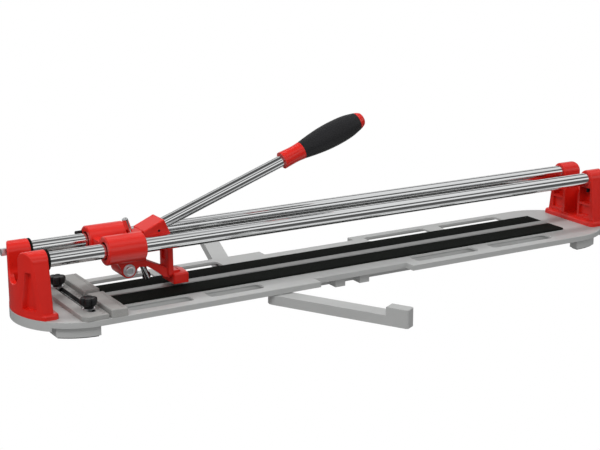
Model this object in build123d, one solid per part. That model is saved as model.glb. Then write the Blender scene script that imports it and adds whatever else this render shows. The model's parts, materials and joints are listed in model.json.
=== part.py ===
from build123d import *
import os

# Manual rail tile cutter, 900 mm class. Millimetres, +Z up.
# Origin: on the floor, below the middle of the visible rails. +X runs along the rails
# from the fence end to the open end, and +Y points away from the front pad.

# ---- driving dimensions -------------------------------------------------------------
RAIL_SPAN = 1001.0              # visible rail between the two supports
RAIL_R = 11.0                   # 22 mm chrome rail
RAIL_WALL = 2.5
RAIL_Y = 35.0                   # each rail's distance from the centre line
RAIL_Z = 107.0                  # rail axis above the floor
RUN_GAP = 0.05                  # radial clearance of sliding and turning fits
MIDDLE_X = -4.0                 # middle of the base, the supports and the rails

BASE_HALF_WIDTH = 98.0
BASE_END_X = 442.0              # from the middle to the centre of each half-round end
BASE_TOP = 26.5
RIM_BOTTOM = 17.5
PLATE_T = 5.0                   # under the pads
WING_T = 3.0                    # round the long slots
SKIRT_T = 5.0
FOOT_PAD_T = 2.0
FOOT_RANGES = ((-506.0, -447.0), (433.0, 480.0))    # the left and the right pair of feet
FOOT_INSET = 6.0
END_LIP_X = 509.0               # beyond this distance from the middle the skirt is deeper
END_LIP_BOTTOM = 12.0
FOOT_WIDTH = 18.0
SLOT_IN_Y = 54.0                # the long slots lie between these two distances
SLOT_OUT_Y = 82.0
SLOT_RANGES = ((-396.0, -293.0), (-267.0, -174.0), (107.0, 231.0), (262.0, 388.0))
NOTCH_HALF_LENGTH = 86.0        # edge notch that the folded arms' tips stand in
NOTCH_Y = 79.0
SPINE_HALF_WIDTH = 54.0
SPINE_BOTTOM = 4.0

PAD_X = (-405.0, 438.0)
PAD_IN_Y = 9.5
PAD_OUT_Y = 50.0
PAD_TOP = 29.5
PAD_SEAT = 25.0
RIDGE_HALF_WIDTH = 9.0
RIDGE_TOP = 30.0

TOWER_R = 15.5                  # rounded top of each tower round a rail
SUPPORT_R = 97.3                # outer face follows the base's half-round end
SUPPORT_FOOT_Y = 62.0
SUPPORT_BOLT_X = 506.0          # from the middle
SUPPORT_BOLT_Y = 27.0
FLANGE_X = 493.0
FLANGE_TOP = 35.0
SOCKET_DEPTH = 20.0
BOLT_SEAT = 28.0                # spot face of a rail bolt, beyond the support's inner face
SADDLE_Z = 88.6                 # centre of the round bottom between two towers

FENCE_X = (-432.5, -407.0)
FENCE_TOP = 38.5
FENCE_GAP = 6.5                 # half of the wheel's passage between the blocks
RULER_X = (-475.0, -436.0)
RULER_TOP = 33.5
RULER_HALF_LENGTH = 97.0
RULER_SLOT_HALF = 78.0
RULER_SLOT_R = 4.6
KNOB_X = -452.5
KNOB_Y = 61.5
KNOB_R = 14.7
STUD_R = 4.0

BARREL_X = (-415.0, -355.0)
BARREL_R = 21.5
BUSH_R = 13.5
BUSH_LENGTH = 18.0
PIVOT_X = -370.5                # lever pivot, under the bridge between the barrels
PIVOT_Z = 67.5
PIVOT_R = 5.0
LUG_IN_Y = 13.0
LUG_OUT_Y = 20.0
LEVER_ANGLE = 19.5              # lever rod above the rails, at rest
HEAD_X = -307.0                 # the rod leaves the yoke's face here
HEAD_Z = 125.6
YOKE_HALF_WIDTH = 19.5
EYE_HALF_WIDTH = 12.5
LEVER_ROD_R = 9.0
HOLDER_R = 4.5
HOLDER_X = -349.8               # a point on the wheel holder's axis
HOLDER_Z = 94.0
WHEEL_R = 7.0
WHEEL_T = 1.6
WHEEL_DROP = 48.0               # from that point down the holder to the wheel's axle
SHOE_BOTTOM = 35.2
SHOE_X = (-298.5, -273.0)
SHOE_HALF_WIDTH = 21.5
SHOE_SCREW_X = -290.0
STOP_SCREW_X = -351.5

ARM_PIVOT_X = -157.0
ARM_PIVOT_Y = 86.0
ARM_HALF_WIDTH = 14.0
ARM_LENGTH = 227.0
ARM_BOTTOM = 1.0
ARM_TOP = 16.7
ARM_TIP_TOP = 29.5
ARM_TIP_LENGTH = 36.0
ARM_TIP_WIDTH = 20.0
FRONT_ARM_ANGLE = -60.5
REAR_ARM_ANGLE = 71.5


# ---- small helpers ------------------------------------------------------------------
def box(x, y, z):
    """Box between two limits on each axis."""
    size = (x[1] - x[0], y[1] - y[0], z[1] - z[0])
    middle = ((x[0] + x[1]) / 2, (y[0] + y[1]) / 2, (z[0] + z[1]) / 2)
    return Pos(*middle) * Box(*size)


def rod_x(radius, x, y, z):
    """Round bar along X between two x values."""
    return Pos((x[0] + x[1]) / 2, y, z) * Rot(0, 90, 0) * Cylinder(radius, x[1] - x[0])


def rod_y(radius, x, y, z):
    """Round bar along Y between two y values."""
    return Pos(x, (y[0] + y[1]) / 2, z) * Rot(90, 0, 0) * Cylinder(radius, y[1] - y[0])


def rod_z(radius, x, y, z):
    """Round bar along Z between two z values."""
    return Pos(x, y, (z[0] + z[1]) / 2) * Cylinder(radius, z[1] - z[0])


def plate_xz(points, y):
    """Flat plate of an X-Z outline between two y values."""
    face = Plane.XZ * Polygon(*points, align=None)
    return Pos(0, (y[0] + y[1]) / 2, 0) * extrude(face, (y[1] - y[0]) / 2, both=True)


def plate_xy(face, z):
    """An X-Y face raised between two z values."""
    return extrude(Pos(0, 0, z[0]) * face, z[1] - z[0])


def hex_y(across_flats, x, y, z):
    """Hexagonal prism along Y, for bolt heads and nuts."""
    face = RegularPolygon(across_flats / 2, 6, major_radius=False)
    return Pos(x, (y[0] + y[1]) / 2, z) * Rot(90, 0, 0) * extrude(face, (y[1] - y[0]) / 2, both=True)


def mirrored(shape):
    """The shape's twin across the centre line."""
    return mirror(shape, Plane.XZ)


def along_lever(shape):
    """Puts a shape built along its own +X onto the lever rod's axis."""
    return Pos(HEAD_X, 0, HEAD_Z) * Rot(0, -LEVER_ANGLE, 0) * shape


def along_holder(shape):
    """Puts a shape built along its own +Z onto the wheel holder's axis."""
    return Pos(HOLDER_X, 0, HOLDER_Z) * Rot(0, -LEVER_ANGLE, 0) * shape


def union(shapes):
    """Joins a list of shapes into one."""
    result = shapes[0]
    for shape in shapes[1:]:
        result = result + shape
    return result


def group(shapes):
    """Keeps separate solids together in one node."""
    return Compound(children=list(shapes))


# ---- base ---------------------------------------------------------------------------
def base_outline(inset=0.0):
    """Plan of the base: straight sides, half-round ends and two edge notches."""
    length = 2 * (BASE_END_X + BASE_HALF_WIDTH - inset)
    plan = Pos(MIDDLE_X, 0) * SlotOverall(length, 2 * (BASE_HALF_WIDTH - inset))
    notch_length = 2 * (NOTCH_HALF_LENGTH + inset)
    notch_depth = BASE_HALF_WIDTH - NOTCH_Y
    for side in (-1, 1):
        notch_y = side * (NOTCH_Y + notch_depth - inset)
        plan = plan - Pos(0, notch_y) * Rectangle(notch_length, 2 * notch_depth)
    return plan


def slot_outlines():
    """The eight long slots, four each side of the spine."""
    width = SLOT_OUT_Y - SLOT_IN_Y
    shapes = []
    for side in (-1, 1):
        for start, end in SLOT_RANGES:
            length = end - start
            middle = Pos((start + end) / 2, side * (SLOT_IN_Y + SLOT_OUT_Y) / 2)
            shapes.append(middle * RectangleRounded(length, width, 7))
    return union(shapes)


def foot_plans(inset=0.0):
    """Plans of the four foot blocks, which follow the outline of the base."""
    ring = SlotOverall(2 * (BASE_END_X + BASE_HALF_WIDTH - FOOT_INSET - inset),
                       2 * (BASE_HALF_WIDTH - FOOT_INSET - inset))
    ring = ring - SlotOverall(2 * (BASE_END_X + BASE_HALF_WIDTH - FOOT_INSET - FOOT_WIDTH + inset),
                              2 * (BASE_HALF_WIDTH - FOOT_INSET - FOOT_WIDTH + inset))
    plans = []
    for start, end in FOOT_RANGES:
        for side in (-1, 1):
            length = end - start - 2 * inset
            window = Pos((start + end) / 2, side * 75) * Rectangle(length, 110)
            plans.append((Pos(MIDDLE_X, 0) * ring) & window)
    return plans


def arm_bosses():
    """Plan of the two solid bosses that the arms' pivot bolts screw into."""
    return union([Pos(ARM_PIVOT_X, side * ARM_PIVOT_Y) * Circle(11) for side in (-1, 1)])


def support_screw_places():
    """Centres of the four bolts that hold the end supports."""
    return [(MIDDLE_X + side_x * SUPPORT_BOLT_X, side_y * SUPPORT_BOLT_Y)
            for side_x in (-1, 1) for side_y in (-1, 1)]


def fence_screw_places():
    """Centres of the four screws that hold the two fence blocks."""
    fence_mid = (FENCE_X[0] + FENCE_X[1]) / 2
    return [(fence_mid, y) for y in (-82.0, -22.0, 22.0, 82.0)]


def base_casting():
    plan = base_outline()
    body = plate_xy(plan, (RIM_BOTTOM, BASE_TOP))
    body = fillet(body.edges().group_by(Axis.Z)[-1], 1.2)
    hollow = base_outline(SKIRT_T) - arm_bosses()
    hollow = hollow - Pos(sum(PAD_X) / 2, 0) * Rectangle(PAD_X[1] - PAD_X[0] + 6, 2 * RIDGE_HALF_WIDTH + 12)
    for x, y in support_screw_places() + [(KNOB_X, KNOB_Y), (KNOB_X, -KNOB_Y)]:
        hollow = hollow - Pos(x, y) * Circle(11)
    body = body - plate_xy(hollow, (RIM_BOTTOM, BASE_TOP - PLATE_T))
    for start, end in SLOT_RANGES:
        thinner = box((start - 4, end + 4), (SLOT_IN_Y - 1.5, SLOT_OUT_Y + 8), (RIM_BOTTOM, BASE_TOP - WING_T))
        body = body - thinner - mirrored(thinner)
    body = body - plate_xy(slot_outlines(), (RIM_BOTTOM, BASE_TOP))
    body = body + end_lips() + spine()
    for plan in foot_plans():
        body = body + plate_xy(plan, (FOOT_PAD_T, BASE_TOP - 1))
    seat_length = PAD_X[1] - PAD_X[0]
    seat = Pos(sum(PAD_X) / 2, 0) * RectangleRounded(seat_length, 2 * PAD_OUT_Y, 6)
    body = body - plate_xy(seat, (PAD_SEAT, BASE_TOP))
    body = body - box(PAD_X, (-RIDGE_HALF_WIDTH, RIDGE_HALF_WIDTH), (BASE_TOP - PLATE_T, PAD_SEAT))
    holes = [rod_z(4.3, x, y, (RIM_BOTTOM, BASE_TOP)) for x, y in support_screw_places()]
    holes += [rod_z(2.6, x, y, (SPINE_BOTTOM, BASE_TOP)) for x, y in fence_screw_places()]
    holes += [rod_z(4.0, ARM_PIVOT_X, side * ARM_PIVOT_Y, (RIM_BOTTOM, BASE_TOP - 3)) for side in (-1, 1)]
    holes += [rod_z(STUD_R + RUN_GAP, KNOB_X, side * KNOB_Y, (RIM_BOTTOM, BASE_TOP)) for side in (-1, 1)]
    return body - union(holes)


def end_lips():
    """Deeper skirt round the two half-round ends."""
    ring = base_outline() - base_outline(SKIRT_T)
    ends = [Pos(MIDDLE_X + side * (END_LIP_X + 30), 0) * Rectangle(60, 200) for side in (-1, 1)]
    return plate_xy(ring & union(ends), (END_LIP_BOTTOM, RIM_BOTTOM))


def spine():
    """Deep box section under the pads, with cross ribs that reach out past it."""
    length = (-430.0, 470.0)
    wall = 4.0
    top = BASE_TOP - PLATE_T
    pieces = [box(length, (side * SPINE_HALF_WIDTH - wall / 2 * (1 + side), side * SPINE_HALF_WIDTH
                           + wall / 2 * (1 - side)), (SPINE_BOTTOM, top)) for side in (-1, 1)]
    inner = (-SPINE_HALF_WIDTH, SPINE_HALF_WIDTH)
    for x in (-428.0, -340.0, -250.0, -160.0, 110.0, 200.0, 290.0, 380.0, 468.0):
        pieces.append(box((x - 2, x + 2), inner, (SPINE_BOTTOM + 4, top)))
    for x in (-34.0, 11.0):
        pieces.append(box((x - 9, x + 9), (-71, 71), (3.0, BASE_TOP - 1)))
    return union(pieces)


def foot_pads():
    """Rubber pads under the four feet and under the middle of the spine."""
    pads = [plate_xy(plan, (0.0, FOOT_PAD_T)) for plan in foot_plans(2.5)]
    pads.append(box((-12, 14), (-30, 30), (0.0, 3.0)))
    return group(pads)


def breaker_ridge():
    """Steel bar that the tile snaps over, let into the middle of the base."""
    half = RIDGE_HALF_WIDTH - 0.1
    bar = box((PAD_X[0] + 0.5, PAD_X[1] - 0.5), (-half, half), (BASE_TOP - PLATE_T, RIDGE_TOP))
    return chamfer(bar.edges().filter_by(Axis.X).group_by(Axis.Z)[-1], 1.0)


def rubber_pad():
    """Rear rubber pad; the front one is its twin."""
    middle_y = (PAD_IN_Y + PAD_OUT_Y) / 2
    plan = Pos(sum(PAD_X) / 2, middle_y) * RectangleRounded(
        PAD_X[1] - PAD_X[0] - 0.6, PAD_OUT_Y - PAD_IN_Y - 0.6, 5)
    pad = plate_xy(plan, (PAD_SEAT, PAD_TOP))
    return fillet(pad.edges().group_by(Axis.Z)[-1], 1.0)


# ---- end supports -------------------------------------------------------------------
def tower_outline():
    """Y-Z outline of a support: two round-topped towers with a round saddle between."""
    waist = (RAIL_Y + TOWER_R, RAIL_Z)
    foot = (SUPPORT_FOOT_Y, BASE_TOP)
    face = Polygon((-foot[0], foot[1]), foot, waist, (-waist[0], waist[1]), align=None)
    for side in (-1, 1):
        face = face + Pos(side * RAIL_Y, RAIL_Z) * Circle(TOWER_R)
    saddle = RAIL_Y - TOWER_R
    face = face - Pos(0, SADDLE_Z + 25) * Rectangle(2 * saddle, 50)
    return face - Pos(0, SADDLE_Z) * Circle(saddle)


def support():
    """One end support, at the right end of a cutter whose middle is at x = 0."""
    inner_x = RAIL_SPAN / 2
    towers = Pos(inner_x, 0, 0) * extrude(Plane.YZ * tower_outline(), 60)
    towers = towers & rod_z(SUPPORT_R, BASE_END_X, 0, (BASE_TOP, RAIL_Z + TOWER_R + 5))
    towers = fillet(towers.edges().filter_by(lambda e: e.center().Z > BASE_TOP + 15), 2.5)
    towers = towers - outer_recess()
    pocket = box((inner_x - 5, inner_x + 60), (-17.0, 17.0), (36, 140))
    towers = towers - (pocket & rod_z(SUPPORT_R - 8, BASE_END_X, 0, (0, 200)))
    towers = towers + support_flange()
    for side in (-1, 1):
        towers = towers - rod_x(RAIL_R, (inner_x, inner_x + SOCKET_DEPTH), side * RAIL_Y, RAIL_Z)
        near, far = sorted((side * 22.0, side * 48.0))
        towers = towers - box((inner_x - 5, inner_x + 14), (near, far), (64, 92))
        towers = towers - box((inner_x - 5, inner_x + 4), (near, far), (42, 60))
        towers = towers - rod_z(3.0, inner_x + 7, side * RAIL_Y, (90, RAIL_Z))
        towers = towers - rod_z(4.0, SUPPORT_BOLT_X, side * SUPPORT_BOLT_Y, (BASE_TOP - 1, BASE_TOP + 9))
    bolt_x = (inner_x + SOCKET_DEPTH - 2, inner_x + 60)
    towers = towers - rod_x(3.2, bolt_x, RAIL_Y, RAIL_Z)
    return towers - rod_x(8.0, (inner_x + BOLT_SEAT, inner_x + 60), RAIL_Y, RAIL_Z)


def outer_recess():
    """Shallow tapered recess in the outer face of each tower."""
    recess = Polygon((36, 94), (47, 94), (54, 38), (27, 38), align=None)
    recess = recess + mirror(recess, Plane.YZ)
    cutter = Pos(RAIL_SPAN / 2, 0, 0) * extrude(Plane.YZ * recess, 60, both=True)
    return cutter - rod_z(SUPPORT_R - 7, BASE_END_X, 0, (0, 200))


def support_flange():
    """Flared foot of a support, flush with the base's half-round end."""
    plan = Pos(BASE_END_X, 0) * Circle(BASE_HALF_WIDTH - 0.3)
    plan = plan & Pos(FLANGE_X + 50, 0) * Rectangle(100, 2 * (SUPPORT_FOOT_Y + 3))
    plan = fillet(plan.vertices().group_by(Axis.X)[0], 8)
    flange = plate_xy(plan, (BASE_TOP, FLANGE_TOP))
    return fillet(flange.edges().group_by(Axis.Z)[-1], 4.0)


def right_support():
    return Pos(MIDDLE_X, 0, 0) * support()


def left_support():
    """The same casting turned to face the other end."""
    return Pos(MIDDLE_X, 0, 0) * mirror(support(), Plane.YZ)


def support_bolts():
    """Four bolts that come up through the base into the supports."""
    bolts = []
    for x, y in support_screw_places():
        head = rod_z(6.5, x, y, (RIM_BOTTOM - 6.6, RIM_BOTTOM - 1.6))
        socket = rod_z(2.9, x, y, (RIM_BOTTOM - 6.6, RIM_BOTTOM - 3.6))
        bolts.append(head + rod_z(3.9, x, y, (RIM_BOTTOM - 1.6, BASE_TOP + 8.5)) - socket)
    return group(bolts)


def support_washers():
    """Washers between those bolts' heads and the base."""
    rings = []
    for x, y in support_screw_places():
        rings.append(rod_z(8, x, y, (RIM_BOTTOM - 1.6, RIM_BOTTOM)) - rod_z(4.2, x, y, (10, RIM_BOTTOM)))
    return group(rings)


def rail(side):
    """Chrome tube, set into both supports."""
    half = RAIL_SPAN / 2 + SOCKET_DEPTH - 1
    span = (MIDDLE_X - half, MIDDLE_X + half)
    return rod_x(RAIL_R, span, side * RAIL_Y, RAIL_Z) - rod_x(RAIL_R - RAIL_WALL, span, side * RAIL_Y, RAIL_Z)


def rail_plugs():
    """Threaded steel plugs pressed into the four rail ends."""
    plugs = []
    outer = RAIL_SPAN / 2 + SOCKET_DEPTH - 1
    for side_x in (-1, 1):
        for side_y in (-1, 1):
            span = sorted((MIDDLE_X + side_x * outer, MIDDLE_X + side_x * (outer - 22)))
            plug = rod_x(RAIL_R - RAIL_WALL, span, side_y * RAIL_Y, RAIL_Z)
            plugs.append(plug - rod_x(3.0, span, side_y * RAIL_Y, RAIL_Z))
    return group(plugs)


def rear_rail_bolts():
    """Two hexagon bolts that draw the rear rail into its supports."""
    bolts = []
    seat = RAIL_SPAN / 2 + BOLT_SEAT
    for side in (-1, 1):
        shank = rod_x(2.95, (seat - 30, seat), RAIL_Y, RAIL_Z)
        washer = rod_x(6.5, (seat, seat + 1.4), RAIL_Y, RAIL_Z)
        hexagon = RegularPolygon(5.0, 6, major_radius=False)
        head = Pos(seat + 1.4, RAIL_Y, RAIL_Z) * extrude(Plane.YZ * hexagon, 11.5)
        bolt = shank + washer + head
        bolts.append(Pos(MIDDLE_X, 0, 0) * (bolt if side > 0 else mirror(bolt, Plane.YZ)))
    return group(bolts)


def rail_set_screws():
    """Four set screws that clamp the rails from the pockets below them."""
    screws = []
    x = RAIL_SPAN / 2 + 7
    for side_x in (-1, 1):
        for side_y in (-1, 1):
            place = (MIDDLE_X + side_x * x, side_y * RAIL_Y)
            screw = rod_z(2.95, *place, (83, RAIL_Z - RAIL_R - 0.1))
            socket = rod_z(1.7, *place, (83, 86))
            screws.append(screw - socket)
    return group(screws)


def rail_buffers():
    """Black rubber rings that cushion the carriage at the fence end."""
    x = (MIDDLE_X - RAIL_SPAN / 2, MIDDLE_X - RAIL_SPAN / 2 + 3)
    rings = []
    for side in (-1, 1):
        ring = rod_x(TOWER_R - 0.3, x, side * RAIL_Y, RAIL_Z) - rod_x(RAIL_R, x, side * RAIL_Y, RAIL_Z)
        rings.append(ring)
    return group(rings)


# ---- fence, ruler and clamp knobs -----------------------------------------------------
def rear_fence():
    """Cast fence block behind the wheel's passage; the front one is its twin."""
    block = box(FENCE_X, (FENCE_GAP, BASE_HALF_WIDTH), (BASE_TOP, FENCE_TOP))
    block = fillet(block.edges().filter_by(Axis.Z), 2.0)
    block = chamfer(block.edges().group_by(Axis.Z)[-1], 1.2)
    for x, y in fence_screw_places():
        if y > 0:
            block = block - rod_z(2.4, x, y, (BASE_TOP - 1, FENCE_TOP - 3))
    return block


def fence_screws():
    """Countersunk screws that come up through the base into the fence blocks."""
    screws = []
    for x, y in fence_screw_places():
        seat = BASE_TOP - PLATE_T
        head = Pos(x, y, seat - 1.5) * Cone(4.8, 2.4, 3)
        slot = box((x - 0.6, x + 0.6), (y - 6, y + 6), (seat - 3, seat - 2))
        screws.append(head + rod_z(2.35, x, y, (seat, FENCE_TOP - 3.5)) - slot)
    return group(screws)


def ruler_bar():
    """Sliding ruler with a clamping slot and chamfered ends."""
    middle = (RULER_X[0] + RULER_X[1]) / 2
    plan = Pos(middle, 0) * Rectangle(RULER_X[1] - RULER_X[0], 2 * RULER_HALF_LENGTH)
    plan = chamfer(plan.vertices().group_by(Axis.X)[0], 7)
    slot = Pos(KNOB_X, 0) * Rot(0, 0, 90) * SlotOverall(2 * RULER_SLOT_HALF, 2 * (RULER_SLOT_R + 1.2))
    bar = plate_xy(plan, (BASE_TOP, RULER_TOP))
    bar = chamfer(bar.edges().group_by(Axis.Z)[-1], 0.8)
    return bar - plate_xy(slot, (BASE_TOP - 1, RULER_TOP + 1))


def ruler_slot_liner():
    """Black plastic liner in the ruler's slot."""
    outer = Rot(0, 0, 90) * SlotOverall(2 * RULER_SLOT_HALF, 2 * (RULER_SLOT_R + 1.2))
    inner = Rot(0, 0, 90) * SlotOverall(2 * RULER_SLOT_HALF - 2.4, 2 * RULER_SLOT_R)
    return plate_xy(Pos(KNOB_X, 0) * (outer - inner), (BASE_TOP + 0.4, RULER_TOP))


def knob_head(side):
    """Six-lobed clamp knob with a waist below its lobes."""
    lobes = 6
    head = Circle(KNOB_R - 3.4)
    for i in range(lobes):
        head = head + Rot(0, 0, i * 360 / lobes) * Pos(KNOB_R - 4.6, 0) * Circle(4.6)
    body = plate_xy(head, (RULER_TOP + 6, RULER_TOP + 17))
    body = chamfer(body.edges().group_by(Axis.Z)[-1], 1.0)
    skirt = Pos(0, 0, RULER_TOP + 4) * Cone(7.0, 8.6, 4.8)
    body = body + skirt - rod_z(STUD_R, 0, 0, (RULER_TOP, RULER_TOP + 14))
    return Pos(KNOB_X, side * KNOB_Y, 0) * body


def knob_stud(side):
    """Steel stud moulded into a knob, which screws into the base."""
    stud = rod_z(STUD_R, 0, 0, (RIM_BOTTOM - 1.5, RULER_TOP + 14))
    stud = chamfer(stud.edges().group_by(Axis.Z)[0], 0.8)
    return Pos(KNOB_X, side * KNOB_Y, 0) * stud


def knob_washer(side):
    """Broad washer that spreads a knob's clamping force over the ruler's slot."""
    ring = rod_z(9.0, 0, 0, (RULER_TOP + 0.1, RULER_TOP + 1.6))
    ring = ring - rod_z(STUD_R, 0, 0, (RULER_TOP, RULER_TOP + 2))
    return Pos(KNOB_X, side * KNOB_Y, 0) * ring


# ---- carriage -----------------------------------------------------------------------
def carriage_casting():
    """Two barrels, the bridge between them and the two lugs that carry the lever."""
    body = bridge()
    for side in (-1, 1):
        barrel = rod_x(BARREL_R, BARREL_X, side * RAIL_Y, RAIL_Z)
        body = body + chamfer(barrel.edges(), 1.5)
        inner, outer = sorted((side * LUG_IN_Y, side * LUG_OUT_Y))
        web = ((-402, 104), (-357, 104), (-357, 92), (-361, 64), (-375, 58))
        body = body + plate_xz(web, (inner, outer))
        body = body + rod_y(12.0, PIVOT_X, (inner, outer), PIVOT_Z)
    for side in (-1, 1):
        bore_x = (BARREL_X[0] - 1, BARREL_X[1] + 1)
        body = body - rod_x(BUSH_R, bore_x, side * RAIL_Y, RAIL_Z)
        inner, outer = sorted((side * (LUG_IN_Y - 1), side * (LUG_OUT_Y + 1)))
        body = body - rod_y(PIVOT_R, PIVOT_X, (inner, outer), PIVOT_Z)
    bumper_x = (BARREL_X[0] - 1, BARREL_X[0] + 10)
    return body - rod_x(2.0, bumper_x, RAIL_Y + 14.6, RAIL_Z + 9.0)


def bridge():
    """Flat-topped plate that ties the two barrels together."""
    return box((-412, -376), (-RAIL_Y / 2, RAIL_Y / 2), (102, 114.5))


def rail_bushes(side):
    """Two plain bushes that run on one rail."""
    ends = ((BARREL_X[0] + 4, BARREL_X[0] + 4 + BUSH_LENGTH), (BARREL_X[1] - 4 - BUSH_LENGTH, BARREL_X[1] - 4))
    bushes = []
    for span in ends:
        bush = rod_x(BUSH_R, span, side * RAIL_Y, RAIL_Z)
        bushes.append(bush - rod_x(RAIL_R + RUN_GAP, span, side * RAIL_Y, RAIL_Z))
    return group(bushes)


def bush_rings():
    """Four snap rings that keep the bushes in the barrels."""
    rings = []
    for side in (-1, 1):
        for span in ((BARREL_X[0] + 2.6, BARREL_X[0] + 4), (BARREL_X[1] - 4, BARREL_X[1] - 2.6)):
            ring = rod_x(BUSH_R, span, side * RAIL_Y, RAIL_Z) - rod_x(12.2, span, side * RAIL_Y, RAIL_Z)
            rings.append(ring)
    return group(rings)


def carriage_bumper():
    """Black stop screw in the rear barrel's left end."""
    y = RAIL_Y + 14.6
    z = RAIL_Z + 9.0
    thread = rod_x(2.0, (BARREL_X[0], BARREL_X[0] + 10), y, z)
    head = rod_x(2.9, (BARREL_X[0] - 10.5, BARREL_X[0]), y, z)
    return thread + chamfer(head.edges().group_by(Axis.X)[0], 0.8)


def pivot_bolt():
    """Shouldered pivot bolt of the lever, its head at the front."""
    head = rod_y(7.2, PIVOT_X, (-LUG_OUT_Y - 7, -LUG_OUT_Y - 1.6), PIVOT_Z)
    head = chamfer(head.edges().group_by(Axis.Y)[0], 1.2)
    shank = rod_y(PIVOT_R, PIVOT_X, (-LUG_OUT_Y - 1.6, LUG_OUT_Y + 12), PIVOT_Z)
    return head + shank


def pivot_nut():
    """Locking nut of the pivot bolt."""
    nut = hex_y(17, PIVOT_X, (LUG_OUT_Y + 1.6, LUG_OUT_Y + 10), PIVOT_Z)
    return nut - rod_y(PIVOT_R, PIVOT_X, (LUG_OUT_Y, LUG_OUT_Y + 12), PIVOT_Z)


def pivot_washers():
    """Washers outside the two lugs."""
    rings = []
    for side in (-1, 1):
        span = sorted((side * LUG_OUT_Y, side * (LUG_OUT_Y + 1.6)))
        rings.append(rod_y(9.5, PIVOT_X, span, PIVOT_Z) - rod_y(PIVOT_R, PIVOT_X, span, PIVOT_Z))
    return group(rings)


# ---- lever --------------------------------------------------------------------------
def lever_yoke():
    """Red casting: pivot eye, arm, clamp column, post and the head with the rod's socket."""
    slim = (-EYE_HALF_WIDTH, EYE_HALF_WIDTH)
    body = yoke_head() + yoke_post()
    body = body + plate_xz(((-372, 79.4), (-352, 84), (-337, 75), (-325.5, 69.4), (-304, 59), (-300, 44),
                            (-310, 46.5), (-322, 56.4), (-337, 66.5), (-350, 68), (-363, 58)), slim)
    body = body + plate_xz(((-362, 76), (-339, 76), (-339, 122), (-344, 122), (-362, 116)), slim)
    body = body + along_holder(Pos(0, 0, 6) * Cylinder(11, 34)) + rod_y(12.0, PIVOT_X, slim, PIVOT_Z)
    body = body - rod_y(7.0, PIVOT_X, (-20, 20), PIVOT_Z)
    body = body - along_holder(Cylinder(HOLDER_R + RUN_GAP, 200))
    body = body - along_lever(rod_x(LEVER_ROD_R, (-24, 40), 0, 0))
    body = body - along_lever(rod_y(2.0, -14, (-40, 40), 0))
    body = body - along_holder(rod_x(3.0, (-20, -4), 0, 6))
    body = body - rod_z(3.0, STOP_SCREW_X, 0, (50, 70))
    return body - rod_z(2.5, SHOE_SCREW_X, 0, (40, 52.5))


def yoke_head():
    """Broad head with a proud lower rim and a rounded belly below the rod's socket."""
    wide = (-YOKE_HALF_WIDTH, YOKE_HALF_WIDTH)
    head = plate_xz(((-344.2, 123.4), (-311.4, 137.6), (-303.4, 120), (-303, 113.5), (-343.5, 113.5)), wide)
    head = fillet(head.edges().filter_by(lambda e: e.center().Z > 120), 2.0)
    rim = box((-344.2, -302.4), (-YOKE_HALF_WIDTH - 0.7, YOKE_HALF_WIDTH + 0.7), (113.5, 117.5))
    belly = plate_xz(((-340, 114), (-330, 107), (-322, 107), (-304, 114)), (-EYE_HALF_WIDTH, EYE_HALF_WIDTH))
    return head + rim + belly


def yoke_post():
    """Flat post down to the shoe, with a shallow recess and a rib towards the wheel."""
    post = plate_xz(((-310, 118), (-303, 113.5), (-296.5, 103), (-296, 48), (-304.5, 48), (-304.5, 104),
                     (-312, 113.5)), (-15.5, 15.5))
    post = fillet(post.edges().filter_by(Axis.Z), 2.0)
    post = post - box((-306, -301.5), (-8, 8), (70, 104))
    rib = plate_xz(((-322, 114), (-301, 114), (-301, 84)), (-2.5, 2.5))
    foot = box((-304.5, -282.5), (-EYE_HALF_WIDTH, EYE_HALF_WIDTH), (44, 54))
    foot = fillet(foot.edges().filter_by(Axis.Y).group_by(Axis.X)[-1].group_by(Axis.Z)[-1], 5.0)
    return post + rib + foot


def pivot_bush():
    """Steel sleeve in the yoke's eye, which turns on the pivot bolt."""
    span = (-EYE_HALF_WIDTH - 0.2, EYE_HALF_WIDTH + 0.2)
    return rod_y(7.0, PIVOT_X, span, PIVOT_Z) - rod_y(PIVOT_R + RUN_GAP, PIVOT_X, span, PIVOT_Z)


def breaking_shoe():
    """Red shoe that presses the tile down on both sides of the ridge."""
    half = SHOE_HALF_WIDTH
    face = Polygon((-half, SHOE_BOTTOM), (half, SHOE_BOTTOM), (half, 50.4), (0, 52.8), (-half, 50.4), align=None)
    shoe = Pos(sum(SHOE_X) / 2, 0, 0) * extrude(Plane.YZ * face, (SHOE_X[1] - SHOE_X[0]) / 2, both=True)
    shoe = fillet(shoe.edges().filter_by(Axis.Z), 3.0)
    shoe = fillet(shoe.edges().group_by(Axis.X)[-1].filter_by(lambda e: e.center().Z > 49), 2.5)
    shoe = shoe - box((-306, -282.4), (-EYE_HALF_WIDTH - 0.2, EYE_HALF_WIDTH + 0.2), (44, 60))
    shoe = shoe - box((-306, -295.8), (-15.7, 15.7), (47.8, 60))
    shoe = shoe - rod_z(2.5, SHOE_SCREW_X, 0, (30, 62))
    return shoe - Pos(SHOE_SCREW_X, 0, SHOE_BOTTOM + 1.5) * Cone(5.1, 2.5, 3)


def shoe_screw():
    """Countersunk screw that holds the shoe under the yoke's foot."""
    head = Pos(SHOE_SCREW_X, 0, SHOE_BOTTOM + 1.5) * Cone(5.0, 2.45, 3)
    slot = box((SHOE_SCREW_X - 6, SHOE_SCREW_X + 6), (-0.6, 0.6), (SHOE_BOTTOM, SHOE_BOTTOM + 1.2))
    return head + rod_z(2.45, SHOE_SCREW_X, 0, (SHOE_BOTTOM + 3, 52)) - slot


def lever_stop_screw():
    """Screw under the arm, with a smooth round end."""
    screw = rod_z(2.95, STOP_SCREW_X, 0, (54.5, 69.5))
    return chamfer(screw.edges().group_by(Axis.Z)[0], 0.8)


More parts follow.
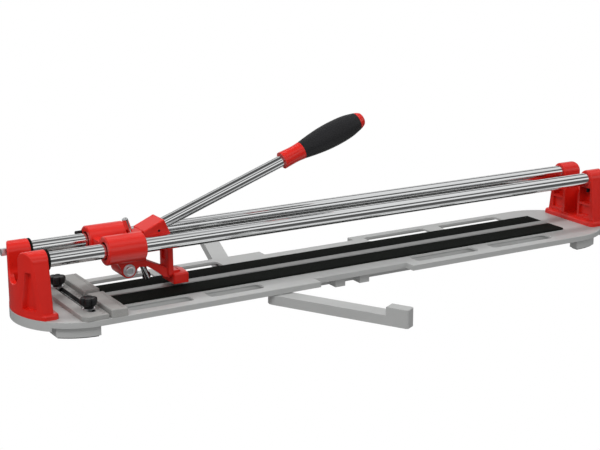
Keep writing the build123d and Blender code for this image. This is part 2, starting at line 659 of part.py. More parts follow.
def lever_rod():
    """Chrome lever tube."""
    tube = rod_x(LEVER_ROD_R, (-24, 366), 0, 0) - rod_x(LEVER_ROD_R - 2, (-24, 366), 0, 0)
    return along_lever(tube - rod_y(2.0, -14, (-20, 20), 0))


def lever_rod_pin():
    """Roll pin that locks the rod in the yoke's socket."""
    pin = rod_y(2.0, -14, (-YOKE_HALF_WIDTH + 0.5, YOKE_HALF_WIDTH - 0.5), 0)
    return along_lever(pin - rod_y(1.0, -14, (-40, 40), 0))


def turned_profile(points):
    """Solid of revolution about X from (distance, radius) points joined by a smooth line."""
    curve = Spline(*[(x, r) for x, r in points])
    first = points[0]
    last = points[-1]
    sides = Polyline((last[0], last[1]), (last[0], 0), (first[0], 0), (first[0], first[1]))
    return revolve(make_face(curve + sides), Axis.X)


def ferrule():
    """Red collar between rod and grip."""
    body = turned_profile(((221, 14.0), (232, 13.4), (246, 13.2), (258, 14.2)))
    return along_lever(body - rod_x(LEVER_ROD_R, (200, 300), 0, 0))


def grip():
    """Soft black grip, thickest past its middle."""
    body = turned_profile(((258.2, 14.2), (275, 16.6), (300, 19.4), (325, 20.0), (350, 18.2), (366, 14.8)))
    return along_lever(body - rod_x(LEVER_ROD_R, (200, 366), 0, 0))


def grip_cap():
    """Red end cap of the grip."""
    dome = turned_profile(((366.2, 14.7), (372, 12.6), (377, 8.8), (379.5, 3.0)))
    return along_lever(dome)


def wheel_clamp_screw():
    """Set screw that grips the wheel holder, with a hexagon socket in its free end."""
    stem = rod_x(2.95, (-12.5, -HOLDER_R - 0.3), 0, 6)
    socket = Pos(-12.5, 0, 6) * extrude(Plane.YZ * RegularPolygon(1.5, 6, major_radius=False), 3)
    return along_holder(stem - socket)


# ---- cutting wheel --------------------------------------------------------------------
def wheel_holder():
    """Chrome holder pin with a forked end for the cutting wheel."""
    pin = Pos(0, 0, 2) * Cylinder(HOLDER_R, 98)
    pin = fillet(pin.edges().group_by(Axis.Z)[-1], 2.0)
    fork_z = -WHEEL_DROP
    fork = box((-HOLDER_R, HOLDER_R), (-HOLDER_R, HOLDER_R), (fork_z - 4, fork_z + 9))
    fork = fork & Pos(0, 0, fork_z) * Cylinder(HOLDER_R, 40)
    gap = box((-20, 20), (-WHEEL_T / 2 - 0.2, WHEEL_T / 2 + 0.2), (fork_z - 9, fork_z + WHEEL_R + 1))
    return along_holder(pin + fork - gap - rod_y(1.5, 0, (-10, 10), fork_z))


def wheel_axle():
    """Hardened pin across the fork."""
    return along_holder(rod_y(1.5, 0, (-HOLDER_R, HOLDER_R), -WHEEL_DROP))


def cutting_wheel():
    """Carbide scoring wheel with a bevelled rim."""
    half = WHEEL_T / 2
    profile = Polygon((-half, 1.5 + RUN_GAP), (half, 1.5 + RUN_GAP), (half, WHEEL_R - 1.2), (0, WHEEL_R),
                      (-half, WHEEL_R - 1.2), align=None)
    wheel = Rot(0, 0, 90) * revolve(profile, Axis.X)
    return along_holder(Pos(0, 0, -WHEEL_DROP) * wheel)


# ---- swing-out arms -------------------------------------------------------------------
def arm(side, angle):
    """Tile support arm about its pivot; its raised tip stands level with the pads."""
    plan = Circle(ARM_HALF_WIDTH) + Pos(ARM_LENGTH / 2, 0) * Rectangle(ARM_LENGTH, 2 * ARM_HALF_WIDTH)
    tip_start = ARM_LENGTH - ARM_TIP_LENGTH
    tip_y = sorted((side * ARM_HALF_WIDTH, side * (ARM_HALF_WIDTH - ARM_TIP_WIDTH)))
    clear_y = sorted((-side * 40, side * (ARM_HALF_WIDTH - ARM_TIP_WIDTH)))
    body = plate_xy(plan, (ARM_BOTTOM, ARM_TOP)) - box((tip_start, ARM_LENGTH + 9), clear_y, (0, 40))
    body = body + box((tip_start, ARM_LENGTH), tip_y, (ARM_BOTTOM, ARM_TIP_TOP))
    body = fillet(body.edges().filter_by(Axis.Z).group_by(Axis.X)[-1], 4.0)
    body = fillet(body.edges().group_by(Axis.Z)[-1], 1.2)
    inside = Pos((20 + tip_start) / 2, 0) * Rectangle(tip_start - 28, 2 * ARM_HALF_WIDTH - 8)
    body = body - plate_xy(inside, (ARM_BOTTOM, ARM_TOP - 4))
    body = body - rod_z(4.0 + RUN_GAP, 0, 0, (0, 30)) - rod_z(8.0, 0, 0, (0, ARM_BOTTOM + 6))
    return Pos(ARM_PIVOT_X, side * ARM_PIVOT_Y) * Rot(0, 0, angle) * body


def arm_bolts():
    """Shouldered pivot bolts of the two arms, screwed up into the base."""
    bolts = []
    for side in (-1, 1):
        x, y = ARM_PIVOT_X, side * ARM_PIVOT_Y
        head = rod_z(7.0, x, y, (ARM_BOTTOM + 1.0, ARM_BOTTOM + 5.8))
        socket = Pos(x, y, ARM_BOTTOM + 1.0) * extrude(RegularPolygon(2.5, 6, major_radius=False), 3)
        bolts.append(head + rod_z(4.0, x, y, (ARM_BOTTOM + 5.8, BASE_TOP - 4)) - socket)
    return group(bolts)


def arm_washers():
    """Thin washers that keep the arms off the base."""
    rings = []
    for side in (-1, 1):
        ring = rod_z(11, 0, 0, (ARM_TOP + 0.05, RIM_BOTTOM)) - rod_z(4.0, 0, 0, (0, 30))
        rings.append(Pos(ARM_PIVOT_X, side * ARM_PIVOT_Y) * ring)
    return group(rings)


# ---- the sub-parts --------------------------------------------------------------------
NODES = {
    "base_casting": base_casting(),
    "breaker_ridge": breaker_ridge(),
    "rear_pad": rubber_pad(),
    "front_pad": mirrored(rubber_pad()),
    "foot_pads": foot_pads(),
    "left_support": left_support(),
    "right_support": right_support(),
    "support_bolts": support_bolts(),
    "support_washers": support_washers(),
    "front_rail": rail(-1),
    "rear_rail": rail(1),
    "rail_plugs": rail_plugs(),
    "rear_rail_bolts": rear_rail_bolts(),
    "rail_set_screws": rail_set_screws(),
    "rail_buffers": rail_buffers(),
    "rear_fence": rear_fence(),
    "front_fence": mirrored(rear_fence()),
    "fence_screws": fence_screws(),
    "ruler_bar": ruler_bar(),
    "ruler_slot_liner": ruler_slot_liner(),
    "front_knob": knob_head(-1),
    "front_knob_stud": knob_stud(-1),
    "front_knob_washer": knob_washer(-1),
    "rear_knob": knob_head(1),
    "rear_knob_stud": knob_stud(1),
    "rear_knob_washer": knob_washer(1),
    "carriage_casting": carriage_casting(),
    "front_bushes": rail_bushes(-1),
    "rear_bushes": rail_bushes(1),
    "bush_rings": bush_rings(),
    "carriage_bumper": carriage_bumper(),
    "pivot_bolt": pivot_bolt(),
    "pivot_nut": pivot_nut(),
    "pivot_washers": pivot_washers(),
    "lever_yoke": lever_yoke(),
    "pivot_bush": pivot_bush(),
    "breaking_shoe": breaking_shoe(),
    "shoe_screw": shoe_screw(),
    "lever_stop_screw": lever_stop_screw(),
    "lever_rod": lever_rod(),
    "lever_rod_pin": lever_rod_pin(),
    "ferrule": ferrule(),
    "grip": grip(),
    "grip_cap": grip_cap(),
    "wheel_clamp_screw": wheel_clamp_screw(),
    "wheel_holder": wheel_holder(),
    "wheel_axle": wheel_axle(),
    "cutting_wheel": cutting_wheel(),
    "front_arm": arm(-1, FRONT_ARM_ANGLE),
    "rear_arm": arm(1, REAR_ARM_ANGLE),
    "arm_bolts": arm_bolts(),
    "arm_washers": arm_washers(),
}

os.makedirs("parts", exist_ok=True)
for name, shape in NODES.items():
    export_step(shape, f"parts/{name}.step")
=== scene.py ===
import json
import math

import bmesh
import bpy
import numpy as np
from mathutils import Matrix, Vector


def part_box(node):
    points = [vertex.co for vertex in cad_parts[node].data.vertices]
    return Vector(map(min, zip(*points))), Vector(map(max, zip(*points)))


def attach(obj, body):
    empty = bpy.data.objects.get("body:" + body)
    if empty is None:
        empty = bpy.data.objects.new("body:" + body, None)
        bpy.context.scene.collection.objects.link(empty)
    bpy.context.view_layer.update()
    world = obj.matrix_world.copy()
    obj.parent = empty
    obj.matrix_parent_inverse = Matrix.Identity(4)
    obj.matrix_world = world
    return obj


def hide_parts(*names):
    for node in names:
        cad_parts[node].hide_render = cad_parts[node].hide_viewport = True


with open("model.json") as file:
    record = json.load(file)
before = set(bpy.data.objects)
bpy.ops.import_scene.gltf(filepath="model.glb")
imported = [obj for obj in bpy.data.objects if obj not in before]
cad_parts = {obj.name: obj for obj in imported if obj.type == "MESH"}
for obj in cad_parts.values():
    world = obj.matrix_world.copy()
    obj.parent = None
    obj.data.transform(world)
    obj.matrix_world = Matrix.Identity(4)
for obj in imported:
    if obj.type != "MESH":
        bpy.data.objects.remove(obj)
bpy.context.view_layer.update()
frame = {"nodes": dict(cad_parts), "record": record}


# ---- Rails ----------------------------------------------------------------------------
# Two chromed steel tubes run the whole length and carry the carriage. Each is drawn on
# a mandrel, plated and polished, and stands in a blind socket in both end supports.


class Socket:
    """One output of a node. Arithmetic on it adds Math nodes, in either order."""

    def __init__(self, finish, out):
        self.finish = finish
        self.out = out

    def math(self, operation, *terms):
        return self.finish.node("Math", {"operation": operation}, *terms)

    def __add__(self, other):
        return self.math("ADD", self, other)

    def __mul__(self, other):
        return self.math("MULTIPLY", self, other)

    __radd__ = __add__
    __rmul__ = __mul__


class Finish:
    """One material: constants go on the shader's own sockets, and what varies is linked."""

    def __init__(self, name, **constants):
        self.material = bpy.data.materials.new(name)
        self.material.use_nodes = True
        self.tree = self.material.node_tree
        self.shader = self.tree.nodes["Principled BSDF"]
        self.set(**constants)

    def set(self, **inputs):
        for name, value in inputs.items():
            self.feed(self.shader.inputs[name.replace("_", " ")], value)
        return self

    def feed(self, socket, value):
        if isinstance(value, Socket):
            self.tree.links.new(value.out, socket)
        elif isinstance(value, tuple) and len(value) == 3 and socket.type == "RGBA":
            socket.default_value = (*value, 1)
        else:
            socket.default_value = value

    def node(self, kind, settings, *values, out=0, **named):
        """Adds a node: settings first, then its sockets' values or links. Gives output out."""
        made = self.tree.nodes.new("ShaderNode" + kind)
        for key, value in settings.items():
            setattr(made, key, value)
        for key, value in [*enumerate(values), *named.items()]:
            self.feed(made.inputs[key], value)
        return Socket(self, made.outputs[out])

    def place(self, scale=(1, 1, 1)):
        """Object coordinates in metres, stretched by scale."""
        where = self.node("TexCoord", {}, out="Object")
        return self.node("Mapping", {}, Vector=where, Scale=scale)

    def noise(self, size_mm, scale=(1, 1, 1), detail=3.0, rough=0.55):
        """Noise whose main lumps are about size_mm across."""
        return self.node("TexNoise", {}, Vector=self.place(scale), Scale=1000 / size_mm,
                         Detail=detail, Roughness=rough)

    def tint(self, factor, first, second):
        """Mix of two colours, first where factor is 0."""
        made = self.tree.nodes.new("ShaderNodeMix")
        made.data_type = "RGBA"
        self.feed(made.inputs[0], factor)
        self.feed(made.inputs[6], first)
        self.feed(made.inputs[7], second)
        return Socket(self, made.outputs[2])

    def bumped(self, height, distance_mm, strength=1.0):
        """Puts a bump of that depth on the surface."""
        normal = self.node("Bump", {}, Strength=strength, Distance=distance_mm / 1000, Height=height)
        return self.set(Normal=normal)

    def on(self, *names):
        """Gives CAD nodes this material."""
        for name in names:
            mesh = frame["nodes"][name]
            if not mesh.material_slots:
                mesh.data.materials.append(self.material)
            mesh.material_slots[0].link = "OBJECT"
            mesh.material_slots[0].material = self.material



def skin(name, rings, finish, rides):
    """Closed piece from an (m, n, 3) grid of rings: quads between rings, and a fan to a middle
    point at both ends. Faces turn outward when the rings run anticlockwise seen from the last one."""
    count, steps = rings.shape[:2]
    points = np.vstack([rings.reshape(-1, 3), rings[0].mean(0), rings[-1].mean(0)])
    at = np.arange(count * steps).reshape(count, steps)
    after = np.roll(at, -1, axis=1)
    quads = np.stack([at[:-1], after[:-1], after[1:], at[1:]], axis=-1).reshape(-1, 4)
    first = np.stack([after[0], at[0], np.full(steps, count * steps)], axis=-1)
    last = np.stack([at[-1], after[-1], np.full(steps, count * steps + 1)], axis=-1)
    mesh = bpy.data.meshes.new(name)
    mesh.from_pydata(points.tolist(), [], quads.tolist() + first.tolist() + last.tolist())
    mesh.polygons.foreach_set("use_smooth", np.ones(len(mesh.polygons), dtype=bool))
    mesh.set_sharp_from_angle(angle=math.radians(35))
    mesh.materials.append(finish.material)
    piece = bpy.data.objects.new(name, mesh)
    bpy.context.collection.objects.link(piece)
    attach(piece, rides)
    return piece


def lathed(start, along, profile, steps=96):
    """Rings about an axis from (distance, radius) in mm: p = start + d u + r (v cos t + w sin t)."""
    u = np.array(along) / np.linalg.norm(along)
    v = np.cross(u, (0.0, 1.0, 0.0)) if abs(u[1]) < 0.9 else np.array((0.0, 0.0, 1.0))
    v = v / np.linalg.norm(v)
    w = np.cross(u, v)
    d, r = np.array(profile, dtype=float).T / 1000
    t = np.linspace(0, 2 * np.pi, steps, endpoint=False)
    turn = np.cos(t)[:, None] * v + np.sin(t)[:, None] * w
    return np.array(start) + d[:, None, None] * u + r[:, None, None] * turn[None]


def span_of(node):
    """Lowest corner, highest corner and middle of a node, as arrays in metres."""
    low, high = (np.array(c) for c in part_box(node))
    return low, high, (low + high) / 2


chrome = Finish("chrome plate", Base_Color=(0.76, 0.77, 0.775), Metallic=1.0)
smear = chrome.noise(60, (0.2, 1, 1))
chrome.set(Roughness=0.07 + smear * 0.05)

for rail in ("front_rail", "rear_rail"):
    low, high, middle = span_of(rail)
    length = (high[0] - low[0]) * 1000
    radius = (high[2] - low[2]) * 500
    worn_edge = 0.6
    outline = [(0, radius - worn_edge), (worn_edge, radius), (length * 0.5, radius),
               (length - worn_edge, radius), (length, radius - worn_edge)]
    rings = lathed((low[0], middle[1], middle[2]), (1, 0, 0), outline, 144)
    tube = skin(rail + "_tube", rings, chrome, "base")
    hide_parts(rail)


# ---- End supports -----------------------------------------------------------------------
# Two die-cast aluminium supports hold the rails. They are coated with thick, glossy red
# powder enamel, whose edges are rounded by the mould and by the coat itself.


def refined(node, rides, finish, edge_mm=0.9, sharp=28):
    """The node's own shape with its triangles joined into faces and its edges rounded by edge_mm."""
    source = frame["nodes"][node]
    shape = bmesh.new()
    shape.from_mesh(source.data)
    shape.transform(source.matrix_world)
    bmesh.ops.remove_doubles(shape, verts=shape.verts, dist=2e-6)
    bmesh.ops.dissolve_limit(shape, angle_limit=math.radians(0.6), verts=shape.verts, edges=shape.edges)
    bmesh.ops.recalc_face_normals(shape, faces=shape.faces)
    mesh = bpy.data.meshes.new(node + "_body")
    shape.to_mesh(mesh)
    shape.free()
    mesh.polygons.foreach_set("use_smooth", np.ones(len(mesh.polygons), dtype=bool))
    mesh.set_sharp_from_angle(angle=math.radians(sharp))
    mesh.materials.clear()
    mesh.materials.append(finish.material)
    piece = bpy.data.objects.new(node + "_body", mesh)
    bpy.context.collection.objects.link(piece)
    rounded = piece.modifiers.new("rounded edges", "BEVEL")
    rounded.width = edge_mm / 1000
    rounded.segments = 3
    rounded.limit_method = "ANGLE"
    rounded.angle_limit = math.radians(sharp)
    rounded.harden_normals = True
    piece.modifiers.new("even shading", "WEIGHTED_NORMAL")
    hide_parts(node)
    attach(piece, rides)
    return piece


red = Finish("red enamel", Metallic=0.0, IOR=1.5, Coat_Roughness=0.05)
red.set(Base_Color=red.tint(red.noise(35), (0.60, 0.010, 0.005), (0.72, 0.016, 0.008)))
red.set(Roughness=0.30 + red.noise(12) * 0.12, Coat_Weight=0.12 + red.noise(50) * 0.16)
red.bumped(red.noise(3.2), 0.03)
refined("left_support", "base", red, 1.2)
refined("right_support", "base", red, 1.2)


# ---- Base and stays -----------------------------------------------------------------------
# The long base and the two swing-out stays are die-cast aluminium in satin grey paint.
# The paint is slightly pebbled and polished by handling.

grey = Finish("grey paint", Metallic=0.1)
worn = grey.noise(45, (0.4, 1, 1))
speckle = grey.noise(1.3, detail=2)
grey.set(Base_Color=grey.tint(worn * 0.7 + speckle * 0.3, (0.41, 0.415, 0.41), (0.50, 0.505, 0.50)))
grey.set(Roughness=0.36 + speckle * 0.2)
grey.bumped(speckle, 0.03)
refined("base_casting", "base", grey, 0.8)
refined("front_arm", "front_stay", grey, 0.8)
refined("rear_arm", "rear_stay", grey, 0.8)


# ---- Tile bed -------------------------------------------------------------------------------
# Two black rubber pads, extruded with fine lengthwise ribs, are glued into a shallow seat.
# A steel ridge between them starts the crack, and plain rubber stands under the feet.

rubber = Finish("black rubber", Metallic=0.0, Specular_IOR_Level=0.06)
bloom = rubber.noise(28, (0.3, 1, 1))
rubber.set(Base_Color=rubber.tint(bloom, (0.004, 0.005, 0.004), (0.010, 0.011, 0.010)))
rubber.set(Roughness=0.65 + bloom * 0.25)
rubber.bumped(rubber.noise(0.9), 0.03)
# The rail buffers are black rubber rings round the rails at the supports' inner faces. They are painted
# shade: their black stands for the shadow in the supports' inner fillets round each rail.
rubber.on("foot_pads", "rail_buffers")


def ribbed(node, pitch_mm=2.6, deep_mm=0.35):
    """Pad whose top is z = top - deep (1 - |sin(pi y / pitch)|), carried straight along X."""
    low, high, middle = span_of(node)
    edge = 0.0006
    shoulder = high[2] - 0.0008
    y = np.linspace(low[1] + edge, high[1] - edge, 241)
    z = high[2] - deep_mm / 1000 * (1 - np.abs(np.sin(np.pi * (y - y[0]) * 1000 / pitch_mm)))
    top = np.stack([y, z], axis=-1)
    foot = np.array([(high[1], shoulder), (high[1], low[2]), (low[1], low[2]), (low[1], shoulder)])
    outline = np.vstack([top, foot])
    end_round = 0.0005
    x = np.array([low[0], low[0] + end_round, high[0] - end_round, high[0]])
    pull = np.array([0.994, 1.0, 1.0, 0.994])
    rings = np.empty((4, len(outline), 3))
    rings[:, :, 0] = x[:, None]
    rings[:, :, 1] = middle[1] + (outline[:, 0] - middle[1])[None] * pull[:, None]
    rings[:, :, 2] = outline[:, 1]
    pad = skin(node + "_ribs", rings[::-1], rubber, "base")
    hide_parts(node)


ribbed("front_pad")
ribbed("rear_pad")

ground = Finish("ground steel", Metallic=1.0, Base_Color=(0.46, 0.465, 0.46))
scratch = ground.noise(1.5, (0.02, 1, 1), 4)
ground.set(Roughness=0.34 + scratch * 0.25)
ground.bumped(scratch, 0.01)
ground.on("breaker_ridge")


# ---- Fences and ruler --------------------------------------------------------------------------
# The two fence blocks and the sliding ruler are bare cast alloy with a fine sand texture.
# The scale's lines are printed on top in black.

cast = Finish("cast alloy", Metallic=0.15)
sand = cast.noise(1.6, detail=4)
cast.set(Base_Color=cast.tint(sand * 0.6 + cast.noise(22) * 0.4, (0.20, 0.20, 0.195), (0.50, 0.495, 0.48)))
cast.set(Roughness=0.42 + sand * 0.25)
cast.bumped(sand, 0.06)
refined("front_fence", "base", cast, 0.8)
refined("rear_fence", "base", cast, 0.8)
refined("ruler_bar", "ruler", cast, 0.5)

ink = Finish("printed ink", Metallic=0.0, Roughness=0.6)
ink.set(Base_Color=ink.tint(ink.noise(4), (0.01, 0.01, 0.01), (0.03, 0.03, 0.03)))


def printed(name, near, far, z, rides):
    """Printed lines: closed slabs between the (n, 2) low and high corners, sunk in the face at z."""
    x = np.stack([near[:, 0], far[:, 0], far[:, 0], near[:, 0]], axis=1)
    y = np.stack([near[:, 1], near[:, 1], far[:, 1], far[:, 1]], axis=1)
    base = np.stack([x, y, np.full_like(x, z - 0.0002)], axis=-1)
    lid = base + np.array((0, 0, 0.00026))
    points = np.concatenate([base, lid], axis=1).reshape(-1, 3)
    sides = np.array([(3, 2, 1, 0), (4, 5, 6, 7), (0, 1, 5, 4), (1, 2, 6, 5), (2, 3, 7, 6), (3, 0, 4, 7)])
    faces = (np.arange(len(near))[:, None, None] * 8 + sides[None]).reshape(-1, 4)
    mesh = bpy.data.meshes.new(name)
    mesh.from_pydata(points.tolist(), [], faces.tolist())
    mesh.materials.append(ink.material)
    marks = bpy.data.objects.new(name, mesh)
    bpy.context.collection.objects.link(marks)
    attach(marks, rides)


line_half = 0.0005
low, high, middle = span_of("ruler_bar")
line_end = high[0] - 0.0015
every_5mm = np.arange(-90, 91, 5)
y = every_5mm / 1000
line_length = np.where(every_5mm % 10 == 0, 0.0065, 0.004)
near = np.stack([line_end - line_length, y - line_half], -1)
far = np.stack([np.full_like(y, line_end), y + line_half], -1)
printed("ruler_marks", near, far, high[2], "ruler")

fence_line_half = 0.0003
for side, fence in ((-1, "front_fence"), (1, "rear_fence")):
    low, high, middle = span_of(fence)
    y = side * np.arange(10, 95, 5) / 1000
    near = np.stack([np.full_like(y, high[0] - 0.008), y - fence_line_half], -1)
    far = np.stack([np.full_like(y, high[0] - 0.0025), y + fence_line_half], -1)
    printed(fence + "_marks", near, far, high[2], "base")


# ---- Clamp knobs --------------------------------------------------------------------------------
# Black moulded knobs with six finger lobes clamp the ruler. Each is a lobed body with a
# dished top above a round waist, moulded round a zinc-plated stud.

plastic = Finish("black plastic", Metallic=0.0, Specular_IOR_Level=0.35)
mould = plastic.noise(1.1)
plastic.set(Base_Color=plastic.tint(mould, (0.006, 0.006, 0.007), (0.013, 0.013, 0.014)))
plastic.set(Roughness=0.34 + mould * 0.2)
plastic.bumped(mould, 0.02)
plastic.on("ruler_slot_liner", "carriage_bumper")

for end in ("front", "rear"):
    low, high, middle = span_of(end + "_knob")
    tall = (high[2] - low[2]) * 1000
    wide = (high[1] - low[1]) * 500
    waist = [(0, 6.9, 0), (tall * 0.27, 8.4, 0), (tall * 0.30, 10.5, 0.5)]
    rim = [(tall * 0.36, wide - 1.0, 1), (tall * 0.44, wide, 1), (tall * 0.84, wide, 1),
           (tall * 0.93, wide - 0.6, 1), (tall, wide - 2.2, 0.9)]
    dish = [(tall, wide - 4.5, 0.5), (tall - 0.9, wide - 7, 0.1), (tall - 1.1, 3, 0)]
    form = np.array([*waist, *rim, *dish])
    t = np.linspace(0, 2 * np.pi, 192, endpoint=False)
    # r = radius (1 - 0.3 a (1 - |cos 3t| ** 0.8)), where a is the share of lobing at that height
    lobes = 1 - 0.30 * form[:, 2:3] * (1 - np.abs(np.cos(3 * t))[None] ** 0.8)
    r = form[:, 1:2] * lobes / 1000
    rings = np.stack([middle[0] + r * np.cos(t), middle[1] + r * np.sin(t),
                      np.broadcast_to(low[2] + form[:, :1] / 1000, r.shape)], axis=-1)
    knob = skin(end + "_knob_lobes", rings, plastic, end + "_clamp")
    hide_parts(end + "_knob")


# ---- Carriage ---------------------------------------------------------------------------------
# The red casting slides on bronze bushes, held by black snap rings in its two barrels.
# Its pivot bolt, nut and washers are zinc-plated steel.

refined("carriage_casting", "carriage", red, 1.2)

bronze = Finish("bush bronze", Metallic=1.0)
bronze.set(Base_Color=bronze.tint(bronze.noise(2), (0.42, 0.27, 0.12), (0.54, 0.38, 0.18)))
bronze.set(Roughness=0.3 + bronze.noise(2) * 0.15)
bronze.on("front_bushes", "rear_bushes", "pivot_bush")

black = Finish("blackened steel", Metallic=0.9)
black.set(Base_Color=black.tint(black.noise(3), (0.02, 0.02, 0.022), (0.05, 0.05, 0.055)))
black.set(Roughness=0.3 + black.noise(3) * 0.2)
black.on("rail_set_screws", "bush_rings", "lever_rod_pin", "wheel_clamp_screw", "cutting_wheel")

zinc = Finish("zinc plate", Metallic=1.0)
spangle = zinc.noise(4)
zinc.set(Base_Color=zinc.tint(spangle, (0.74, 0.75, 0.78), (0.86, 0.87, 0.88)))
zinc.set(Roughness=0.30 + spangle * 0.16)
zinc.bumped(zinc.noise(0.8), 0.006)
zinc.on("support_bolts", "support_washers", "rail_plugs", "rear_rail_bolts", "fence_screws",
        "front_knob_stud", "front_knob_washer", "rear_knob_stud", "rear_knob_washer", "pivot_nut",
        "pivot_washers", "shoe_screw", "lever_stop_screw", "wheel_axle", "arm_bolts", "arm_washers")

low, high, middle = span_of("pivot_bolt")
head_r = (high[2] - low[2]) * 500
bolt_length = (high[1] - low[1]) * 1000
dimple = [(0.9, 2.0), (0.9, 3.2), (0.0, 3.6)]
head = [(0.0, head_r - 1.2), (0.4, head_r - 0.4), (1.2, head_r), (5.3, head_r)]
shank = [(5.4, 5.0), (bolt_length - 0.8, 5.0), (bolt_length, 4.3)]
rings = lathed((middle[0], low[1], middle[2]), (0, 1, 0), dimple + head + shank, 64)
bolt = skin("pivot_bolt_turned", rings, zinc, "carriage")
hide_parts("pivot_bolt")


# ---- Lever --------------------------------------------------------------------------------------
# The red yoke and shoe are cast and enamelled like the supports. The chromed lever tube is
# pinned in the yoke, and carries a red collar, a soft charcoal grip and a red end cap.

refined("lever_yoke", "lever", red, 0.9)
refined("breaking_shoe", "lever", red, 1.2)

joints = {joint["name"]: joint for joint in frame["record"]["behaviour"]["joints"]}
tilt = joints["wheel_height"]["axis"]
along = np.array((tilt[2], 0.0, -tilt[0]))
low, high, middle = span_of("lever_rod")
rod_r = (high[1] - low[1]) / 2
rod_length = (high[0] - low[0] - 2 * rod_r * along[2]) / along[0]
rod_foot = middle - along * rod_length / 2
rod_end = rod_length * 1000
radius = rod_r * 1000
outline = [(0, radius - 0.5), (0.5, radius), (rod_end / 2, radius),
           (rod_end - 1, radius), (rod_end - 0.5, radius - 0.5)]
rod = skin("lever_rod_tube", lathed(rod_foot, along, outline, 128), chrome, "lever")
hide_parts("lever_rod")


def faired(stations, count=48):
    """Cubic curve through (distance, radius) stations, with each station's slope from its neighbours."""
    d, r = np.array(stations, dtype=float).T
    fine = np.linspace(d[0], d[-1], count)
    part = np.clip(np.searchsorted(d, fine, side="right") - 1, 0, len(d) - 2)
    slope = np.gradient(r, d)
    h = d[part + 1] - d[part]
    s = (fine - d[part]) / h
    curve = ((2 * s**3 - 3 * s**2 + 1) * r[part] + (s**3 - 2 * s**2 + s) * h * slope[part]
             + (3 * s**2 - 2 * s**3) * r[part + 1] + (s**3 - s**2) * h * slope[part + 1])
    return np.stack([fine, curve], axis=-1)


soft = Finish("soft grip rubber", Metallic=0.0, Specular_IOR_Level=0.3)
stipple = soft.noise(0.7, detail=1)
handled = stipple * 0.5 + soft.noise(30) * 0.5
soft.set(Base_Color=soft.tint(handled, (0.010, 0.010, 0.011), (0.022, 0.022, 0.024)))
soft.set(Roughness=0.42 + stipple * 0.25)
soft.bumped(stipple, 0.05)

grip_start = rod_end - 107.8
shape = faired([(grip_start, 13.9), (grip_start + 17, 16.5), (grip_start + 42, 19.2), (grip_start + 67, 19.8),
                (grip_start + 92, 18.0), (rod_end, 14.6)], 72)
outline = np.vstack([[(grip_start, 12.5)], shape, [(rod_end, 13.5)]])
grip = skin("grip_moulding", lathed(rod_foot, along, outline, 128), soft, "lever")
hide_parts("grip")

gloss = Finish("red plastic", Metallic=0.0, IOR=1.48)
gloss.set(Base_Color=gloss.tint(gloss.noise(20), (0.62, 0.014, 0.010), (0.70, 0.022, 0.014)))
gloss.set(Roughness=0.24 + gloss.noise(6) * 0.1)
gloss.bumped(gloss.noise(2), 0.01)

collar_start = rod_end - 145
collar_end = rod_end - 108
shape = faired([(collar_start, 13.8), (collar_start + 11, 13.3), (collar_start + 25, 13.1),
                (collar_end, 14.0)], 40)
outline = np.vstack([[(collar_start + 0.6, 9.2), (collar_start, 12.6)], shape, [(collar_end, 9.2)]])
collar = skin("ferrule_collar", lathed(rod_foot, along, outline, 128), gloss, "lever")
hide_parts("ferrule")

dome = faired([(rod_end + 0.2, 14.5), (rod_end + 6, 12.5), (rod_end + 11, 8.7), (rod_end + 13.4, 3.0)], 32)
cap = skin("grip_cap_dome", lathed(rod_foot, along, dome, 128), gloss, "lever")
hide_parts("grip_cap")


# ---- Wheel holder -------------------------------------------------------------------------------
# The carbide wheel turns in the fork of a chromed pin, which slides in the yoke.

chrome.on("wheel_holder")


# ---- Studio ---------------------------------------------------------------------------
# Three soft lights and a room of light and dark bands, which shows only in reflections.
# What the camera sees behind the cutter is plain white.

CAMERA_AT = (-1.174, -1.878, 0.669)
LOOK_YAW = 30.54
LOOK_DOWN = 14.84
LENS = 85.26

camera_data = bpy.data.cameras.new("camera")
camera_data.lens = LENS
camera_data.sensor_width = 36
camera = bpy.data.objects.new("camera", camera_data)
bpy.context.collection.objects.link(camera)
yaw = math.radians(LOOK_YAW)
down = math.radians(LOOK_DOWN)
look = Vector((math.cos(down) * math.sin(yaw), math.cos(down) * math.cos(yaw), -math.sin(down)))
camera.location = CAMERA_AT
camera.rotation_euler = look.to_track_quat("-Z", "Y").to_euler()
bpy.context.scene.camera = camera


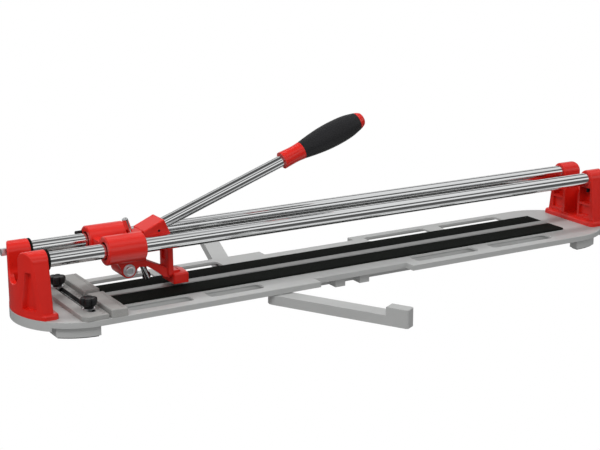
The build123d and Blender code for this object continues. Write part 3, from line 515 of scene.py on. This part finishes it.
def softbox(name, at, aim, width, height, watts):
    """A rectangular light at one point, facing another."""
    data = bpy.data.lights.new(name, "AREA")
    data.shape = "RECTANGLE"
    data.size = width
    data.size_y = height
    data.energy = watts
    lamp = bpy.data.objects.new(name, data)
    bpy.context.collection.objects.link(lamp)
    lamp.visible_glossy = False
    lamp.location = at
    lamp.rotation_euler = (Vector(aim) - Vector(at)).to_track_quat("-Z", "Y").to_euler()


softbox("key", (-1.6, -1.2, 1.9), (-0.1, 0, 0), 2.2, 0.5, 32)
softbox("fill", (2.2, -1.6, 1.2), (0, 0, 0.1), 1.2, 0.8, 9)
softbox("top", (0, 0.7, 2.2), (0, 0, 0), 3.0, 0.35, 26)

world = bpy.data.worlds.new("studio")
bpy.context.scene.world = world
world.use_nodes = True
sky = world.node_tree
backdrop = sky.nodes["Background"]
direction = sky.nodes.new("ShaderNodeTexCoord")
parts = sky.nodes.new("ShaderNodeSeparateXYZ")
# height runs from 0 straight down to 1 straight up
height = sky.nodes.new("ShaderNodeMath")
height.operation = "MULTIPLY_ADD"
height.inputs[1].default_value = 0.5
height.inputs[2].default_value = 0.5
bands = sky.nodes.new("ShaderNodeValToRGB")
seen = sky.nodes.new("ShaderNodeLightPath")
choice = sky.nodes.new("ShaderNodeMix")
choice.data_type = "RGBA"
ramp = bands.color_ramp
for place, level in ((0.18, 0.85), (0.27, 0.12), (0.53, 0.08), (0.60, 1.0), (0.69, 1.0), (0.76, 0.06),
                     (0.82, 0.06), (0.87, 0.9), (0.92, 0.9), (0.97, 0.1)):
    ramp.elements.new(place).color = (level, level, level, 1)
ramp.elements[0].color = (0.85, 0.85, 0.85, 1)
ramp.elements[-1].color = (0.1, 0.1, 0.1, 1)
sky.links.new(direction.outputs["Generated"], parts.inputs[0])
sky.links.new(parts.outputs["Z"], height.inputs[0])
sky.links.new(height.outputs[0], bands.inputs[0])
sky.links.new(seen.outputs["Is Camera Ray"], choice.inputs[0])
sky.links.new(bands.outputs[0], choice.inputs[6])
choice.inputs[7].default_value = (1, 1, 1, 1)
sky.links.new(choice.outputs[2], backdrop.inputs["Color"])
backdrop.inputs["Strength"].default_value = 1.0
bpy.context.scene.view_settings.view_transform = "Standard"
